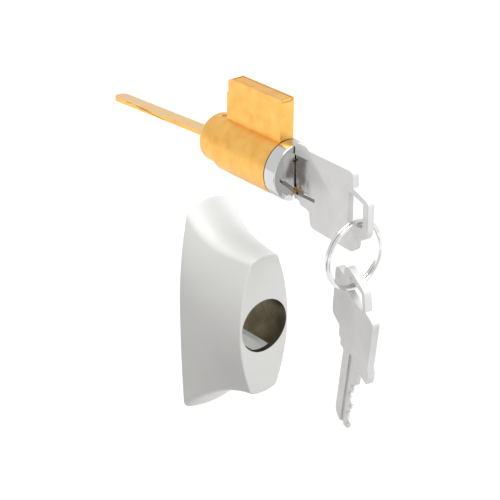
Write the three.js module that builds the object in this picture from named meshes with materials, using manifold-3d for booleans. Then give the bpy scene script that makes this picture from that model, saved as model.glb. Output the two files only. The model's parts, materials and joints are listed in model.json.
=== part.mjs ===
// Keyed lock for a sliding window or patio door, laid out as a kit: a waisted housing, and above it
// the pin tumbler cylinder with its keys. Millimetres, +Z up. The lock's front faces -Y.
// The origin is on the axis of the housing's bore, in the plane of the housing's rear rim.
import * as THREE from "three";
import { mergeVertices } from "three/addons/utils/BufferGeometryUtils.js";
import Module from "manifold-3d";

const wasm = await Module();
wasm.setup();

// ---------------------------------------------------------------- driving dimensions

// Housing
const HOUSING_DEPTH = 24.6;
const REAR_HALF_WIDTH = 11.5; // at the height of the bore
const FACE_HALF_WIDTH = 8.8;
const REAR_CORNER = 2; // how far the rounding of a corner reaches
const FACE_CORNER = 0.8;
// Above and below the bore the housing flares differently. Heights are from the bore's axis, ends are
// half widths at the corners, crowns are how far an end bulges, and a higher sweep turns in sooner.
const UPPER = {
  rear: { height: 29.4, end: 8.3, crown: 2.1 },
  face: { height: 21, end: 4.8, crown: 1 },
  sweep: 3.6,
};
const LOWER = {
  rear: { height: 34.6, end: 10.5, crown: 2 },
  face: { height: 21, end: 4.7, crown: 0.8 },
  sweep: 1.9,
};
const HOUSING_WALL = 2.2;
const BORE_RADIUS = 8.15;
const BORE_TUBE_LENGTH = 15.6;
const BORE_TUBE_WALL = 1.7;
const TOWER_SLOT_WIDTH = 6;
const TOWER_SLOT_SETBACK = 1.8; // the slot stops this far behind the face
const POST_HEIGHT = 22.6; // screw posts, above and below the bore's axis
const POST_RADIUS = 2.9;
const POST_SETBACK = 0.8; // from the rear rim
const POST_HOLE_RADIUS = 1.3;
const POST_HOLE_DEPTH = 4.6;

// Cylinder
const CYLINDER_RADIUS = 8;
const HEAD_LENGTH = 3.9;
const SHELL_LENGTH = 22.3;
const PLUG_RADIUS = 6.2;
const PLUG_BORE_RADIUS = 6.45;
const TOWER_HALF_WIDTH = 2.3;
const TOWER_TOP = 19.5;
const GAP = 0.3; // between neighbouring pieces
const CAP_RADIUS = 7;
const CAP_LENGTH = 6.6;
const CAP_SCREW_X = 4.3; // either side of the axis
const CAP_SCREW_BITE = 2.6; // how far a cap screw reaches into the plug
const CHAMBERS = 5;
const FIRST_CHAMBER = 7.6; // behind the head's face
const CHAMBER_PITCH = 3.9;
const CHAMBER_RADIUS = 1.45;
const PIN_RADIUS = 1.32;
const CHAMBER_FLOOR = -1; // the plug's chambers end this far from the axis
const COVER_HALF_WIDTH = 1.6;
const COVER_THICKNESS = 0.8;
const DRIVER_BOTTOM = 6.55;
const DRIVER_LENGTH = 4;
const SPRING_TURNS = 4.5;

// Tailpiece
const TAIL_WIDTH = 4.3;
const TAIL_THICKNESS = 1.3;
const TAIL_LENGTH = 49;
const TAIL_DROOP = 2.7; // degrees, its play in the cap
const TAIL_SCORES = 7;
const TAIL_SCORE_PITCH = 4.6;
const TAIL_PIN_RADIUS = 0.8;
const TAIL_PIN_SETBACK = 3.2; // from the cap's front

// Keys
const KEY_THICKNESS = 2;
const BLADE_LENGTH = 26.2;
const BLADE_TOP = 3.5;
const BLADE_BOTTOM = -5;
const CUT_HEIGHTS = [1.5, 0.4, 1.9, 0.9, 1.6]; // floor of each cut, from the plug's axis
const CUT_HALF_FLAT = 0.85;
const CUT_SLOPE = 2;
const KEYWAY_WIDTH = 2.4;

// Split ring
const RING_RADIUS = 9.15; // to the middle of the wire
const RING_WIRE_RADIAL = 1.1;
const RING_WIRE_AXIAL = 1;
const RING_TURN_GAP = 0.12;

// Layout
const FACE_Y = -HOUSING_DEPTH;
const CYLINDER_FACE_AHEAD = 12.7; // of the housing's face
const CYLINDER_HEIGHT = 51.4; // above the bore's axis
const RING_CENTRE = new THREE.Vector3(-1.6, -24.8, -14.2); // from the centre of the cylinder's face
const SPARE_KEY_HANG = new THREE.Vector3(0, -25.2, -4.4); // point of the spare key on the ring's wire
const SPARE_KEY_TURN = [-108, 5, 164]; // degrees about X, then Y, then Z
const SPARE_KEY_ROUND_RING = 7; // degrees from the ring's lowest point

// ---------------------------------------------------------------- materials

const material = (color, roughness, metalness) =>
  new THREE.MeshStandardMaterial({ color, roughness, metalness });
const whitePaint = material(0xdcdcd8, 0.45, 0);
const gildedBrass = material(0xf2b85c, 0.4, 0.9);
const chrome = material(0xdcdde0, 0.08, 1);
const nickel = material(0xcfcecb, 0.35, 0.9);
const pinBrass = material(0xd8b060, 0.3, 0.9);
const springSteel = material(0xb8babd, 0.3, 1);

// ---------------------------------------------------------------- solids

// A closed three.js geometry as a solid.
function solid(geometry) {
  const bare = geometry.clone();
  bare.deleteAttribute("normal");
  bare.deleteAttribute("uv");
  const merged = mergeVertices(bare, 1e-4);
  return new wasm.Manifold(
    new wasm.Mesh({
      numProp: 3,
      vertProperties: new Float32Array(merged.attributes.position.array),
      triVerts: new Uint32Array(merged.index.array),
    }),
  );
}

const add = (first, ...more) => more.reduce((sum, piece) => sum.add(piece), first);
const cut = (first, ...more) => more.reduce((rest, piece) => rest.subtract(piece), first);

// A solid as a named mesh.
function part(name, body, look) {
  const { vertProperties, triVerts } = body.getMesh();
  const geometry = new THREE.BufferGeometry();
  geometry.setAttribute("position", new THREE.BufferAttribute(vertProperties, 3));
  geometry.setIndex(new THREE.BufferAttribute(triVerts, 1));
  geometry.computeVertexNormals();
  const mesh = new THREE.Mesh(geometry, look);
  mesh.name = name;
  return mesh;
}

function box(low, high) {
  const size = high.map((value, i) => value - low[i]);
  const centre = high.map((value, i) => (value + low[i]) / 2);
  return solid(new THREE.BoxGeometry(...size).translate(...centre));
}

// A round bar along Y, from one depth to another.
function barY(radius, from, to, x = 0, z = 0, sides = 48) {
  const geometry = new THREE.CylinderGeometry(radius, radius, to - from, sides);
  return solid(geometry.translate(x, (from + to) / 2, z));
}

// A round bar along Z.
function barZ(radius, from, to, x = 0, y = 0, sides = 24) {
  const geometry = new THREE.CylinderGeometry(radius, radius, to - from, sides);
  return solid(geometry.rotateX(Math.PI / 2).translate(x, y, (from + to) / 2));
}

// A round piece about the Y axis. The profile lists [radius, depth] and closes along the axis.
function turned(profile, sides = 48) {
  const points = profile.map(([radius, depth]) => new THREE.Vector2(radius, depth));
  return solid(new THREE.LatheGeometry(points, sides));
}

// A plate in the YZ plane: the shape's x is Y, its y is Z, and it is extruded along X.
function plate(shape, fromX, toX) {
  const geometry = new THREE.ExtrudeGeometry(shape, {
    depth: toX - fromX,
    bevelEnabled: false,
    curveSegments: 6,
  });
  const axes = new THREE.Matrix4().makeBasis(
    new THREE.Vector3(0, 1, 0),
    new THREE.Vector3(0, 0, 1),
    new THREE.Vector3(1, 0, 0),
  );
  return solid(geometry.applyMatrix4(axes).translate(fromX, 0, 0));
}

// A solid through closed sections of equal point counts, in order along Y.
function loft(sections) {
  const count = sections[0].length;
  const positions = sections.flat().flatMap((point) => [point.x, point.y, point.z]);
  const last = (sections.length - 1) * count;
  const faces = [];
  for (let s = 0; s < sections.length - 1; s += 1) {
    for (let i = 0; i < count; i += 1) {
      const a = s * count + i;
      const b = s * count + ((i + 1) % count);
      faces.push(a, a + count, b, b, a + count, b + count);
    }
  }
  for (let i = 1; i < count - 1; i += 1) {
    faces.push(0, i, i + 1);
    faces.push(last, last + i + 1, last + i);
  }
  const geometry = new THREE.BufferGeometry();
  geometry.setAttribute("position", new THREE.Float32BufferAttribute(positions, 3));
  geometry.setIndex(faces);
  return solid(geometry);
}

// ---------------------------------------------------------------- housing

// A quarter of the outline at one depth, from the side at the bore's height round to the middle of the
// end: a bulging side, a rounded corner and a crowned end. share is 0 at the rear and 1 at the face.
function housingQuarter(share, inset, flare) {
  const mix = THREE.MathUtils.lerp;
  const { rear, face, sweep } = flare;
  const height = mix(rear.height, face.height, 1 - (1 - share) ** sweep) - inset;
  const crown = mix(rear.crown, face.crown, share);
  const middle = mix(REAR_HALF_WIDTH, FACE_HALF_WIDTH, share) - inset;
  const end = mix(rear.end, face.end, share) - inset;
  const corner = mix(REAR_CORNER, FACE_CORNER, share);
  const side = (z) => middle - (middle - end) * (z / height) ** 2;
  const top = (x) => height + crown * (1 - (x / end) ** 2);
  const quarter = [];
  for (let i = 0; i <= 6; i += 1) {
    const z = ((height - corner) * i) / 6;
    quarter.push([side(z), z]);
  }
  const from = new THREE.Vector2(...quarter[6]);
  const to = new THREE.Vector2(end - corner, top(end - corner));
  const bend = new THREE.QuadraticBezierCurve(from, new THREE.Vector2(end, height), to);
  for (const t of [0.25, 0.5, 0.75, 1]) {
    const point = bend.getPoint(t);
    quarter.push([point.x, point.y]);
  }
  quarter.push([(end - corner) / 2, top((end - corner) / 2)]);
  quarter.push([0, top(0)]);
  return quarter;
}

// The whole outline at one depth. inset shrinks it, for the hollow inside.
function housingSection(depth, inset) {
  const share = THREE.MathUtils.clamp(-depth / HOUSING_DEPTH, 0, 1);
  const upper = housingQuarter(share, inset, UPPER);
  const lower = housingQuarter(share, inset, LOWER);
  const outline = [
    ...upper,
    ...upper.slice(0, -1).reverse().map(([x, z]) => [-x, z]),
    ...lower.slice(1).map(([x, z]) => [-x, -z]),
    ...lower.slice(1, -1).reverse().map(([x, z]) => [x, -z]),
  ];
  return outline.map(([x, z]) => new THREE.Vector3(x, depth, z));
}

function housingBlock(front, rear, inset, steps) {
  const sections = [];
  for (let i = 0; i <= steps; i += 1) {
    const even = i / steps;
    const depth = front + (rear - front) * (1 - (1 - even) ** 1.5); // finer towards the rear
    sections.push(housingSection(depth, inset));
  }
  return loft(sections);
}

function housing() {
  const outside = housingBlock(FACE_Y, 0, 0, 12);
  const hollow = add(
    housingBlock(FACE_Y + HOUSING_WALL, 0, HOUSING_WALL, 10),
    box([-8, -1, -26], [8, 1, 26]).intersect(housingBlock(-1, 1, HOUSING_WALL, 1)),
  );
  const tubeEnd = FACE_Y + BORE_TUBE_LENGTH;
  const tube = barY(BORE_RADIUS + BORE_TUBE_WALL, FACE_Y + 0.5, tubeEnd).intersect(outside);
  const posts = [-1, 1].map((way) =>
    barY(POST_RADIUS, FACE_Y + 2, -POST_SETBACK, 0, way * POST_HEIGHT, 24).intersect(outside),
  );
  const screwHoles = [-1, 1].map((way) =>
    barY(POST_HOLE_RADIUS, -POST_SETBACK - POST_HOLE_DEPTH, 1, 0, way * POST_HEIGHT, 20),
  );
  const bore = barY(BORE_RADIUS, FACE_Y - 1, 1, 0, 0, 64);
  const slot = box(
    [-TOWER_SLOT_WIDTH / 2, FACE_Y + TOWER_SLOT_SETBACK, -TOWER_TOP - 0.5],
    [TOWER_SLOT_WIDTH / 2, tubeEnd + 1, 0],
  );
  return cut(add(cut(outside, hollow), tube, ...posts), bore, slot, ...screwHoles);
}

// ---------------------------------------------------------------- cylinder
// Its own frame: the origin is the centre of the head's face, and +Y runs back into the cylinder.

const SHELL_FRONT = HEAD_LENGTH + GAP;
const SHELL_REAR = SHELL_FRONT + SHELL_LENGTH;
const CAP_FRONT = SHELL_REAR + GAP;
const CAP_REAR = CAP_FRONT + CAP_LENGTH;
const COVER_BOTTOM = TOWER_TOP - COVER_THICKNESS;
const TAIL_PIN_Y = CAP_FRONT + TAIL_PIN_SETBACK;
const CHAMBER_DEPTHS = CUT_HEIGHTS.slice(0, CHAMBERS).map((_, i) => FIRST_CHAMBER + i * CHAMBER_PITCH);

function cylinderShell() {
  const round = turned([
    [0, SHELL_FRONT],
    [CYLINDER_RADIUS, SHELL_FRONT],
    [CYLINDER_RADIUS, SHELL_REAR - 0.3],
    [CYLINDER_RADIUS - 0.3, SHELL_REAR],
    [0, SHELL_REAR],
  ]);
  const side = new THREE.Shape();
  side.moveTo(SHELL_FRONT, 4);
  side.lineTo(SHELL_REAR, 4);
  side.lineTo(SHELL_REAR, TOWER_TOP - 4);
  side.lineTo(SHELL_REAR - 0.6, TOWER_TOP - 4);
  side.lineTo(SHELL_REAR - 0.6, TOWER_TOP - 1.2);
  side.quadraticCurveTo(SHELL_REAR - 0.6, TOWER_TOP, SHELL_REAR - 1.8, TOWER_TOP);
  side.lineTo(SHELL_FRONT, TOWER_TOP);
  side.closePath();
  const tower = plate(side, -TOWER_HALF_WIDTH, TOWER_HALF_WIDTH);
  const plugBore = barY(PLUG_BORE_RADIUS, SHELL_FRONT - 1, SHELL_REAR + 1, 0, 0, 64);
  const chambers = CHAMBER_DEPTHS.map((y) => barZ(CHAMBER_RADIUS, 4, TOWER_TOP + 1, 0, y));
  const coverSeat = box(
    [-COVER_HALF_WIDTH - 0.12, SHELL_FRONT - 1, COVER_BOTTOM - 0.1],
    [COVER_HALF_WIDTH + 0.12, SHELL_REAR - 1.9, TOWER_TOP + 1],
  );
  return cut(add(round, tower), plugBore, coverSeat, ...chambers);
}

function chamberCover() {
  return box(
    [-COVER_HALF_WIDTH, SHELL_FRONT + 0.02, COVER_BOTTOM],
    [COVER_HALF_WIDTH, SHELL_REAR - 2.1, TOWER_TOP - 0.02],
  );
}

function plug() {
  const body = turned([
    [0, 0],
    [CYLINDER_RADIUS - 0.35, 0],
    [CYLINDER_RADIUS, 0.35],
    [CYLINDER_RADIUS, HEAD_LENGTH],
    [PLUG_RADIUS, HEAD_LENGTH],
    [PLUG_RADIUS, SHELL_REAR],
    [0, SHELL_REAR],
  ], 64);
  const half = KEYWAY_WIDTH / 2;
  const keyway = box([-half, -1, BLADE_BOTTOM - 0.3], [half, SHELL_REAR + 1, BLADE_TOP + 0.4]);
  const headSlot = box([-half, -1, -CYLINDER_RADIUS - 1], [half, HEAD_LENGTH - 0.6, 0]);
  const chambers = CHAMBER_DEPTHS.map((y) => barZ(CHAMBER_RADIUS, CHAMBER_FLOOR, PLUG_RADIUS + 1, 0, y));
  const screwHoles = [-1, 1].map((way) =>
    barY(0.75, SHELL_REAR - CAP_SCREW_BITE - 0.4, SHELL_REAR + 1, way * CAP_SCREW_X, 0, 16),
  );
  return cut(body, keyway, headSlot, ...chambers, ...screwHoles);
}

// The key pin's tip is a blunt cone that sits in its cut.
function keyPin(index) {
  const tip = CUT_HEIGHTS[index] + 0.12;
  const top = PLUG_RADIUS - 0.2;
  const pin = turned([
    [0, tip],
    [0.55, tip],
    [PIN_RADIUS, tip + 0.9],
    [PIN_RADIUS, top - 0.15],
    [PIN_RADIUS - 0.15, top],
    [0, top],
  ], 20);
  return pin.rotate([90, 0, 0]).translate([0, CHAMBER_DEPTHS[index], 0]);
}

function driverPin(index) {
  const top = DRIVER_BOTTOM + DRIVER_LENGTH;
  const pin = turned([
    [0, DRIVER_BOTTOM],
    [PIN_RADIUS - 0.2, DRIVER_BOTTOM],
    [PIN_RADIUS, DRIVER_BOTTOM + 0.2],
    [PIN_RADIUS, top - 0.2],
    [PIN_RADIUS - 0.2, top],
    [0, top],
  ], 20);
  return pin.rotate([90, 0, 0]).translate([0, CHAMBER_DEPTHS[index], 0]);
}

class Helix extends THREE.Curve {
  constructor(radius, low, high, turns) {
    super();
    Object.assign(this, { radius, low, high, turns });
  }
  getPoint(t, target = new THREE.Vector3()) {
    const angle = t * this.turns * 2 * Math.PI;
    const { radius, low, high } = this;
    return target.set(radius * Math.cos(angle), radius * Math.sin(angle), low + (high - low) * t);
  }
}

function pinSpring(index) {
  const low = DRIVER_BOTTOM + DRIVER_LENGTH + 0.35;
  const high = COVER_BOTTOM - 0.45;
  const wire = new THREE.Shape().absarc(0, 0, 0.2, 0, 2 * Math.PI);
  const geometry = new THREE.ExtrudeGeometry(wire, {
    steps: Math.round(SPRING_TURNS * 9),
    curveSegments: 3,
    bevelEnabled: false,
    extrudePath: new Helix(PIN_RADIUS - 0.3, low, high, SPRING_TURNS),
  });
  return solid(geometry.translate(0, CHAMBER_DEPTHS[index], 0));
}

function rearCap() {
  const body = turned([
    [0, CAP_FRONT],
    [CAP_RADIUS, CAP_FRONT],
    [CAP_RADIUS, CAP_REAR - 0.9],
    [CAP_RADIUS - 0.3, CAP_REAR - 0.3],
    [CAP_RADIUS - 0.9, CAP_REAR],
    [0, CAP_REAR],
  ]);
  const tailSlot = box(
    [-TAIL_WIDTH / 2 - 0.4, CAP_FRONT + 1.2, -TAIL_THICKNESS / 2 - 0.75],
    [TAIL_WIDTH / 2 + 0.4, CAP_REAR + 1, TAIL_THICKNESS / 2 + 0.55],
  );
  const pinHole = barZ(TAIL_PIN_RADIUS + 0.1, -CAP_RADIUS - 1, CAP_RADIUS + 1, 0, TAIL_PIN_Y, 20);
  const screws = [-1, 1].flatMap((way) => [
    barY(0.95, CAP_FRONT - 1, CAP_REAR, way * CAP_SCREW_X, 0, 16),
    barY(1.65, CAP_REAR - 1.6, CAP_REAR + 1, way * CAP_SCREW_X, 0, 20),
  ]);
  return cut(body, tailSlot, pinHole, ...screws);
}

function capScrew(way) {
  const screw = turned([
    [0, SHELL_REAR - CAP_SCREW_BITE],
    [0.6, SHELL_REAR - CAP_SCREW_BITE],
    [0.6, CAP_REAR - 1.35],
    [1.4, CAP_REAR - 1.35],
    [1.4, CAP_REAR - 0.2],
    [0, CAP_REAR - 0.2],
  ], 20);
  const driverSlot = box([-2, CAP_REAR - 0.7, -0.2], [2, CAP_REAR + 1, 0.2]);
  return cut(screw, driverSlot).translate([way * CAP_SCREW_X, 0, 0]);
}

function tailPin() {
  return barZ(TAIL_PIN_RADIUS, -CAP_RADIUS + 0.25, CAP_RADIUS - 0.25, 0, TAIL_PIN_Y, 20);
}

// The tailpiece lies flat, with its round tip to the rear. Its play lets the tip hang a little.
function tailpiece() {
  const half = TAIL_WIDTH / 2;
  const front = CAP_FRONT + 1.7;
  const rear = CAP_REAR - 1 + TAIL_LENGTH;
  const outline = new THREE.Shape();
  outline.moveTo(-half, front);
  outline.lineTo(half, front);
  outline.lineTo(half, rear - half);
  outline.absarc(0, rear - half, half, 0, Math.PI);
  outline.closePath();
  const geometry = new THREE.ExtrudeGeometry(outline, {
    depth: TAIL_THICKNESS,
    bevelEnabled: false,
    curveSegments: 10,
  });
  const bar = solid(geometry.translate(0, 0, -TAIL_THICKNESS / 2));
  const scores = [];
  for (let i = 0; i < TAIL_SCORES; i += 1) {
    const y = rear - 7.5 - i * TAIL_SCORE_PITCH;
    for (const way of [-1, 1]) {
      const z = (way * TAIL_THICKNESS) / 2;
      scores.push(box([-half - 1, y - 0.2, z - 0.16], [half + 1, y + 0.2, z + 0.16]));
    }
  }
  const hole = barZ(TAIL_PIN_RADIUS + 0.35, -3, 3, 0, TAIL_PIN_Y, 20);
  return cut(bar, hole, ...scores)
    .translate([0, -TAIL_PIN_Y, 0])
    .rotate([-TAIL_DROOP, 0, 0])
    .translate([0, TAIL_PIN_Y, 0]);
}

// ---------------------------------------------------------------- keys
// A key's frame is the cylinder's: shoulders at y = 0, blade along +Y, bow along -Y.

function keyOutline() {
  const outline = new THREE.Shape();
  outline.moveTo(-0.3, BLADE_TOP);
  outline.lineTo(-0.3, 8.2);
  outline.quadraticCurveTo(-0.3, 9, -1.2, 9);
  outline.lineTo(-4.4, 9.1);
  outline.lineTo(-5.9, 8.2);
  outline.lineTo(-21.2, 7.9);
  outline.quadraticCurveTo(-22.7, 7.8, -22.8, 6.3);
  outline.lineTo(-22.9, 3.5);
  outline.lineTo(-27.2, 1.9);
  outline.quadraticCurveTo(-28.6, 1.3, -28.7, 0.1);
  outline.lineTo(-28.8, -6.4);
  outline.quadraticCurveTo(-28.6, -9.3, -26.4, -9.7);
  outline.quadraticCurveTo(-25, -10, -24.3, -9);
  outline.lineTo(-24.4, -12);
  outline.quadraticCurveTo(-24.2, -14.2, -22.2, -14.2);
  outline.lineTo(-8.6, -13.3);
  outline.quadraticCurveTo(-6.8, -13.1, -6.6, -11.6);
  outline.lineTo(-6.3, -9);
  outline.lineTo(-5.4, -8.5);
  outline.lineTo(-2.8, -8.2);
  outline.lineTo(-2.2, -7);
  outline.lineTo(-0.3, -7);
  outline.lineTo(-0.3, BLADE_BOTTOM);
  outline.lineTo(BLADE_LENGTH - 3, BLADE_BOTTOM);
  outline.quadraticCurveTo(BLADE_LENGTH, BLADE_BOTTOM + 0.6, BLADE_LENGTH, -1.6);
  addCuts(outline);
  outline.closePath();
  const slot = new THREE.Path();
  slot.moveTo(-21.3, -6.2);
  slot.lineTo(-26.5, -6.2);
  slot.lineTo(-26.5, 0.2);
  slot.lineTo(-21.3, 2.2);
  slot.closePath();
  outline.holes.push(slot);
  return outline;
}

// The cuts, from the tip back to the shoulder: a flat floor under each pin, with steep flanks.
function addCuts(outline) {
  const reach = (height) => (BLADE_TOP - height) / CUT_SLOPE;
  for (let i = CHAMBERS - 1; i >= 0; i -= 1) {
    const y = CHAMBER_DEPTHS[i];
    const z = CUT_HEIGHTS[i];
    if (i === CHAMBERS - 1) {
      outline.lineTo(BLADE_LENGTH - 0.8, 1.2);
      outline.lineTo(y + CUT_HALF_FLAT + 0.9, z + 0.9);
    } else {
      const next = CUT_HEIGHTS[i + 1];
      const peak = (z + next) / 2 + (CHAMBER_PITCH / 2 - CUT_HALF_FLAT) * CUT_SLOPE;
      outline.lineTo(y + CHAMBER_PITCH / 2 + (next - z) / (2 * CUT_SLOPE), Math.min(peak, BLADE_TOP));
    }
    outline.lineTo(y + CUT_HALF_FLAT, z);
    outline.lineTo(y - CUT_HALF_FLAT, z);
  }
  outline.lineTo(CHAMBER_DEPTHS[0] - CUT_HALF_FLAT - reach(CUT_HEIGHTS[0]), BLADE_TOP);
}

function key() {
  const half = KEY_THICKNESS / 2;
  const blank = plate(keyOutline(), -half, half);
  const milled = box([-half - 1, -5.5, -4.6], [-half + 0.5, BLADE_LENGTH + 1, 5.6]);
  const groove = box([-half - 1, -8.4, -5.6], [-half + 0.75, BLADE_LENGTH + 1, -4.5]);
  const farGroove = box([half - 0.5, -2, -1.6], [half + 1, BLADE_LENGTH + 1, 0.2]);
  return cut(blank, milled, groove, farGroove);
}

// ---------------------------------------------------------------- split ring

// Two turns side by side. The wire crosses from one turn to the other where its ends lie.
class SplitRingPath extends THREE.Curve {
  getPoint(t, target = new THREE.Vector3()) {
    const free = THREE.MathUtils.degToRad(28);
    const angle = free + t * (4 * Math.PI - 2 * free);
    const cross = THREE.MathUtils.smoothstep(angle, 2 * Math.PI - free, 2 * Math.PI + free);
    const y = (RING_WIRE_AXIAL + RING_TURN_GAP) * (cross - 0.5);
    return target.set(RING_RADIUS * Math.cos(angle), y, RING_RADIUS * Math.sin(angle));
  }
}

function splitRing() {
  const [a, b] = [RING_WIRE_RADIAL / 2, RING_WIRE_AXIAL / 2];
  const wire = new THREE.Shape().absellipse(0, 0, a, b, 0, 2 * Math.PI);
  const geometry = new THREE.ExtrudeGeometry(wire, {
    steps: 88,
    curveSegments: 4,
    bevelEnabled: false,
    extrudePath: new SplitRingPath(),
  });
  return solid(geometry);
}

// ---------------------------------------------------------------- assembly

const lock = new THREE.Group();
lock.name = "keyed_window_lock";
lock.add(part("housing", housing(), whitePaint));

const cylinder = new THREE.Group();
cylinder.position.set(0, FACE_Y - CYLINDER_FACE_AHEAD, CYLINDER_HEIGHT);
lock.add(cylinder);
cylinder.add(part("cylinder_shell", cylinderShell(), gildedBrass));
cylinder.add(part("chamber_cover", chamberCover(), gildedBrass));
cylinder.add(part("plug", plug(), chrome));
for (let i = 0; i < CHAMBERS; i += 1) {
  cylinder.add(part(`key_pin_${i + 1}`, keyPin(i), pinBrass));
  cylinder.add(part(`driver_pin_${i + 1}`, driverPin(i), pinBrass));
  cylinder.add(part(`pin_spring_${i + 1}`, pinSpring(i), springSteel));
}
cylinder.add(part("rear_cap", rearCap(), gildedBrass));
cylinder.add(part("cap_screw_left", capScrew(-1), springSteel));
cylinder.add(part("cap_screw_right", capScrew(1), springSteel));
cylinder.add(part("tail_pin", tailPin(), pinBrass));
cylinder.add(part("tailpiece", tailpiece(), gildedBrass));
cylinder.add(part("working_key", key(), nickel));

const ring = part("split_ring", splitRing(), chrome);
ring.position.copy(RING_CENTRE);
cylinder.add(ring);

// The spare key hangs from the ring's wire: its hanging point goes to the point on the wire.
const spareKey = part("spare_key", key(), nickel);
const turn = SPARE_KEY_TURN.map(THREE.MathUtils.degToRad);
spareKey.rotation.set(...turn, "ZYX");
const roundRing = THREE.MathUtils.degToRad(SPARE_KEY_ROUND_RING);
const onWire = new THREE.Vector3(Math.sin(roundRing), 0, -Math.cos(roundRing))
  .multiplyScalar(RING_RADIUS)
  .add(RING_CENTRE);
spareKey.position.copy(onWire).sub(SPARE_KEY_HANG.clone().applyEuler(spareKey.rotation));
cylinder.add(spareKey);

export default lock;
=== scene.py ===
"""Looks of a keyed window lock laid out as a kit: a painted waisted housing, and above it the gilded
pin tumbler cylinder with its working key, a split ring and a spare key. Metres, in the CAD model's frame.
Shapes are worked out in millimetres in each group's own frame, then scaled and placed."""
import json
import math

import bmesh
import bpy
from mathutils import Euler, Matrix, Vector


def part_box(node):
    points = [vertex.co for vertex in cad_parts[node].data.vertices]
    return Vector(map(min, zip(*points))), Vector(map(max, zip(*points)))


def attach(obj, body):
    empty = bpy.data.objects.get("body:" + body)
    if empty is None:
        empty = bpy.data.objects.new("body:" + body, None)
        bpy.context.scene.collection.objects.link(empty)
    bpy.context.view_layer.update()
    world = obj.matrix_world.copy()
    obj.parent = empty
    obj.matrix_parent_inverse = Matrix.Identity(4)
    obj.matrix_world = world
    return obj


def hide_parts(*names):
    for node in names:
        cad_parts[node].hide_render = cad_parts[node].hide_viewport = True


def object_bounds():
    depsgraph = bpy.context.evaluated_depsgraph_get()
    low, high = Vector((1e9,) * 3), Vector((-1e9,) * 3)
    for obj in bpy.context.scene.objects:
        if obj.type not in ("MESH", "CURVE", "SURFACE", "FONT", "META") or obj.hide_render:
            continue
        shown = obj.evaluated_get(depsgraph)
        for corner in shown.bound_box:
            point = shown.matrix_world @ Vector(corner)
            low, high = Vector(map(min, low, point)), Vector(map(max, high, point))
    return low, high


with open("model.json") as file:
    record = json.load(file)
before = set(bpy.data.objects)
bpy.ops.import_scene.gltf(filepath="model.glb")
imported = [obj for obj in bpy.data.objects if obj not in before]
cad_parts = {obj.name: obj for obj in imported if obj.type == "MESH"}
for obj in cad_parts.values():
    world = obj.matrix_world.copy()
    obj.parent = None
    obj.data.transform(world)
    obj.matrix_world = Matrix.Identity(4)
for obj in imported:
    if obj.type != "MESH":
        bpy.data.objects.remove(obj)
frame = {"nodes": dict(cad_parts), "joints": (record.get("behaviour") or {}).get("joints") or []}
cad_low, cad_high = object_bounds()
MM = 0.001

# ---------------------------------------------------------------- dimensions, in millimetres and degrees

# Housing
HOUSING_DEPTH = 24.6
REAR_HALF_WIDTH = 11.5
FACE_HALF_WIDTH = 8.8
REAR_CORNER = 2
FACE_CORNER = 0.8
# The flare above and below the bore: (height, half width at the corners, crown) at the rear and the face,
# and how sharply the height turns out towards the rear
UPPER = {"rear": (29.4, 8.3, 2.1), "face": (21, 4.8, 1), "sweep": 3.6}
LOWER = {"rear": (34.6, 10.5, 2), "face": (21, 4.7, 0.8), "sweep": 1.9}
HOUSING_WALL = 2.2
FACE_EDGE_RADIUS = 0.35
RIM_EDGE_RADIUS = 0.3
BORE_RADIUS = 8.15
BORE_TUBE_LENGTH = 15.6
BORE_TUBE_WALL = 1.7
TOWER_SLOT_WIDTH = 6
TOWER_SLOT_SETBACK = 1.8
POST_HEIGHT = 22.6
POST_RADIUS = 2.9
POST_SETBACK = 0.8
POST_HOLE_RADIUS = 1.3
POST_HOLE_DEPTH = 4.6
TOWER_SLOT_ROOM = 0.5
HOLLOW_PAST = 0.5
# The tube and the posts start at these depths behind the face, inside its wall, and are trimmed to this
# far under the outer surface
TUBE_START = 1
POST_START = 2
TRIM_INSET = 0.3

# Cylinder
HEAD_LENGTH = 3.9
SHELL_LENGTH = 22.3
CYLINDER_RADIUS = 8
PLUG_RADIUS = 6.2
PLUG_BORE_RADIUS = 6.45
TOWER_HALF_WIDTH = 2.3
TOWER_TOP = 19.5
GAP = 0.3
CAP_RADIUS = 7
CAP_LENGTH = 6.6
CAP_SCREW_X = 4.3
CHAMBERS = 5
FIRST_CHAMBER = 7.6
CHAMBER_PITCH = 3.9
CHAMBER_RADIUS = 1.45
CHAMBER_FLOOR = -1
COVER_HALF_WIDTH = 1.6
COVER_THICKNESS = 0.8
COVER_SIDE_GAP = 0.12
COVER_UNDER_GAP = 0.1
COVER_SINK = 0.02
# How far ahead of the shell's rear the strip and its seat end
COVER_END = 2.1
COVER_SEAT_END = 1.9
SHELL_CHAMFER = 0.3
# The tower and its chambers rise from this height, inside the round body
TOWER_FOOT = 4
TOWER_STEP = 4
TOWER_SETBACK = 0.6
TOWER_CORNER = 1.2
# The rims of the head and the cap as (how far in from the side, how far in from the end)
HEAD_RIM = [(0.45, 0), (0.2, 0.06), (0.06, 0.2), (0, 0.45)]
CAP_RIM = [(0, 0.9), (0.08, 0.6), (0.3, 0.3), (0.6, 0.08), (0.9, 0)]
CAP_FRONT_CHAMFER = 0.15
# How much of the head is left behind its slot
HEAD_SLOT_FLOOR = 0.6
PLUG_SCREW_HOLE_RADIUS = 0.75
PLUG_SCREW_HOLE_DEPTH = 3
CAP_SCREW_HOLE_RADIUS = 0.95
CAP_SCREW_SINK_RADIUS = 1.65
CAP_SCREW_SINK_DEPTH = 1.6
SHELL_FRONT = HEAD_LENGTH + GAP
SHELL_REAR = SHELL_FRONT + SHELL_LENGTH
CAP_FRONT = SHELL_REAR + GAP
CAP_REAR = CAP_FRONT + CAP_LENGTH

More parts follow.
